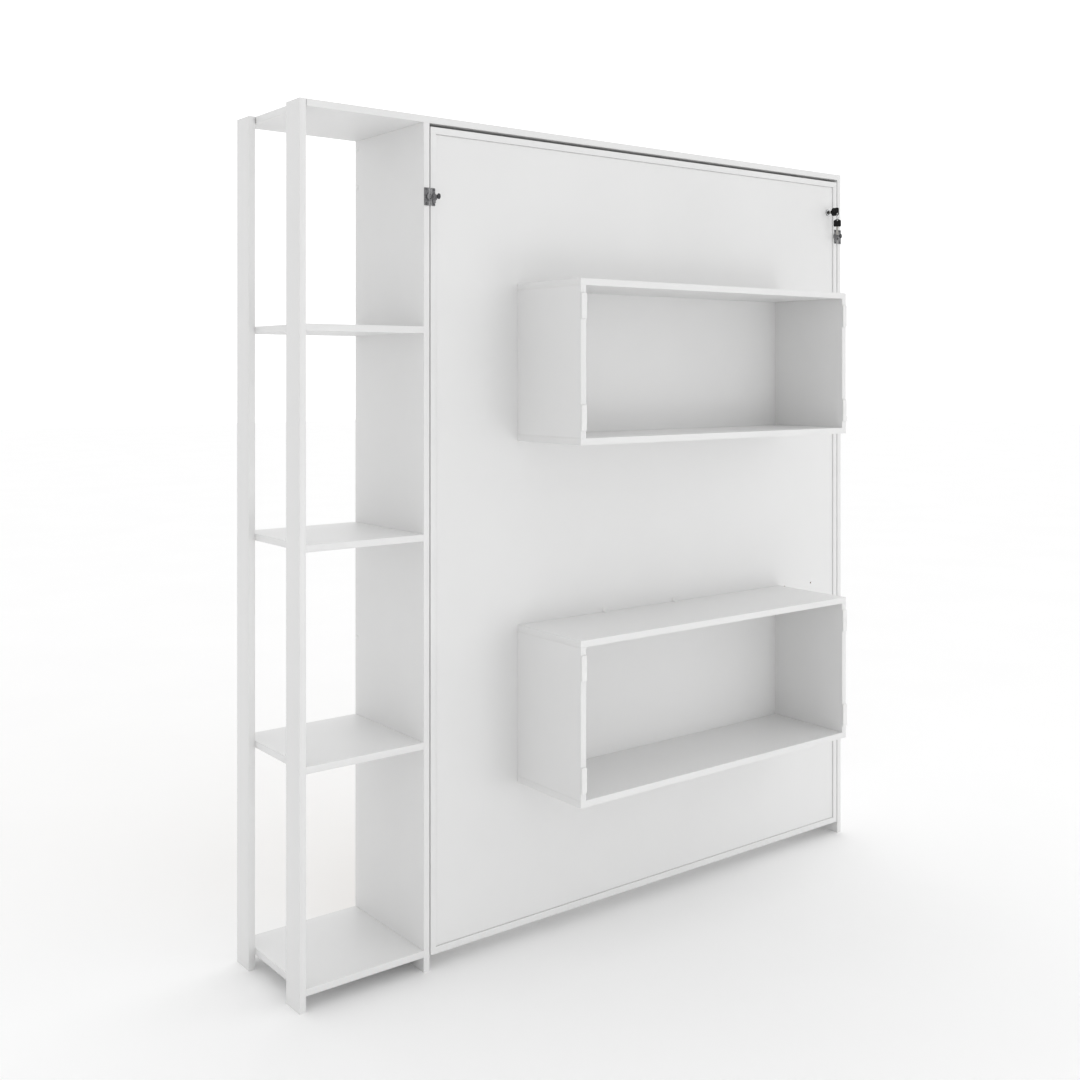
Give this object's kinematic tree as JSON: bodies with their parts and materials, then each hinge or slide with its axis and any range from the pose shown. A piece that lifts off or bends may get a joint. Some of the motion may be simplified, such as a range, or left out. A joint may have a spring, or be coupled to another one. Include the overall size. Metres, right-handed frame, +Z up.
{
  "type": "murphy wall bed",
  "caption": "Vertical fold-down wall bed in white melamine with an open shelf tower at its left and box shelves on the bed's face that become its legs.",
  "frame": {"origin": "on the floor, below the middle of the whole object's box at rest, bed closed", "axes": "+X along the front towards the bed's right side panel, +Y back towards the wall, +Z up"},
  "size_m": [1.82, 0.566, 2],
  "materials": {
    "melamine": "satin white melamine on chipboard",
    "slat_wood": "bare laminated wood",
    "white_plastic": "matte",
    "nylon": "matte",
    "zinc_steel": "zinc plated",
    "dark_steel": "dark zinc plated",
    "chrome": "polished",
    "black_plastic": "matte",
    "black_paint": "satin black"
  },
  "bodies": {
    "cabinet": {"top_board": "melamine", "right_panel": "melamine", "middle_panel": "melamine", "front_post": "melamine", "rear_post": "melamine", "tower_shelf_1": "melamine", "tower_shelf_2": "melamine", "tower_shelf_3": "melamine", "tower_shelf_4": "melamine", "upper_wall_rail": "melamine", "middle_wall_rail": "melamine", "wall_bracket_left": "zinc_steel", "wall_bracket_right": "zinc_steel", "pivot_bush_left": "nylon", "pivot_bush_right": "nylon", "strut_bracket_left": "dark_steel", "strut_bracket_right": "dark_steel", "stop_block_left": "white_plastic", "stop_block_right": "white_plastic", "latch_strike_left": "zinc_steel", "latch_strike_right": "zinc_steel", "lock_keeper": "zinc_steel"},
    "bed": {"face_panel": "melamine", "side_rail_left": "melamine", "side_rail_right": "melamine", "top_rail": "melamine", "bottom_rail": "melamine", "slatted_base": "slat_wood", "pivot_arm_left": "dark_steel", "pivot_arm_right": "dark_steel", "latch_plate_left": "zinc_steel", "latch_plate_right": "zinc_steel", "lock_body": "chrome", "upper_box_bottom": "melamine", "upper_box_top": "melamine", "upper_box_left": "melamine", "upper_box_right": "melamine", "upper_pad_left_bottom": "white_plastic", "upper_pad_left_top": "white_plastic", "upper_pad_right_bottom": "white_plastic", "upper_pad_right_top": "white_plastic", "lower_box_bottom": "melamine", "lower_box_top": "melamine", "lower_box_left": "melamine", "lower_box_right": "melamine", "lower_pad_left_bottom": "white_plastic", "lower_pad_left_top": "white_plastic", "lower_pad_right_bottom": "white_plastic", "lower_pad_right_top": "white_plastic"},
    "latch_knob_left": {"latch_knob_left": "dark_steel"},
    "latch_knob_right": {"latch_knob_right": "dark_steel"},
    "lock_plug": {"lock_plug": "chrome"},
    "key": {"key": "black_plastic"},
    "spare_key": {"key_ring": "chrome", "spare_key": "black_plastic"},
    "lock_bolt": {"lock_bolt": "zinc_steel"},
    "strut_cylinder_left": {"strut_cylinder_left": "black_paint"},
    "strut_cylinder_right": {"strut_cylinder_right": "black_paint"},
    "strut_rod_left": {"strut_rod_left": "chrome"},
    "strut_rod_right": {"strut_rod_right": "chrome"}
  },
  "joints": [
    {"name": "bed_fold", "type": "hinge", "parent": "cabinet", "child": "bed", "pos_m": [0.16, 0.013, 0.296], "axis": [1, 0, 0], "range_deg": [0, 90], "stiffness_Nm_per_rad": 100, "springref_deg": -34.38},
    {"name": "latch_turn_left", "type": "hinge", "parent": "bed", "child": "latch_knob_left", "pos_m": [-0.5625, -0.045, 1.811], "axis": [0, 1, 0], "range_deg": [0, 90]},
    {"name": "latch_turn_right", "type": "hinge", "parent": "bed", "child": "latch_knob_right", "pos_m": [0.8825, -0.045, 1.811], "axis": [0, -1, 0], "range_deg": [0, 90]},
    {"name": "key_turn", "type": "hinge", "parent": "bed", "child": "lock_plug", "pos_m": [0.854, -0.036, 1.882], "axis": [0, 1, 0], "range_deg": [0, 90]},
    {"name": "bolt_slide", "type": "slide", "parent": "bed", "child": "lock_bolt", "axis": [1, 0, 0], "range_m": [0, 0.011]},
    {"name": "key_pull", "type": "slide", "parent": "lock_plug", "child": "key", "axis": [0, -1, 0], "range_m": [0, 0.03]},
    {"name": "ring_swing", "type": "hinge", "parent": "key", "child": "spare_key", "pos_m": [0.854, -0.07, 1.875], "axis": [1, 0, 0], "range_deg": [-75, 20]},
    {"name": "strut_turn_left", "type": "hinge", "parent": "cabinet", "child": "strut_cylinder_left", "pos_m": [-0.5415, 0.158, 0.68], "axis": [1, 0, 0], "range_deg": [0, 6.24]},
    {"name": "strut_stroke_left", "type": "slide", "parent": "strut_cylinder_left", "child": "strut_rod_left", "axis": [0, -0.2195, -0.9756], "range_m": [-0.1509, 0]},
    {"name": "strut_turn_right", "type": "hinge", "parent": "cabinet", "child": "strut_cylinder_right", "pos_m": [0.8615, 0.158, 0.68], "axis": [1, 0, 0], "range_deg": [0, 6.24]},
    {"name": "strut_stroke_right", "type": "slide", "parent": "strut_cylinder_right", "child": "strut_rod_right", "axis": [0, -0.2195, -0.9756], "range_m": [-0.1509, 0]}
  ],
  "couplings": [
    {"joint": "key_turn", "follows": "bolt_slide", "rad_per_m": 142.8},
    {"joint": "strut_turn_left", "follows": "bed_fold", "ratio": 0.068214},
    {"joint": "strut_stroke_left", "follows": "bed_fold", "m_per_rad": -0.095451},
    {"joint": "strut_turn_right", "follows": "bed_fold", "ratio": 0.068214},
    {"joint": "strut_stroke_right", "follows": "bed_fold", "m_per_rad": -0.095451}
  ]
}
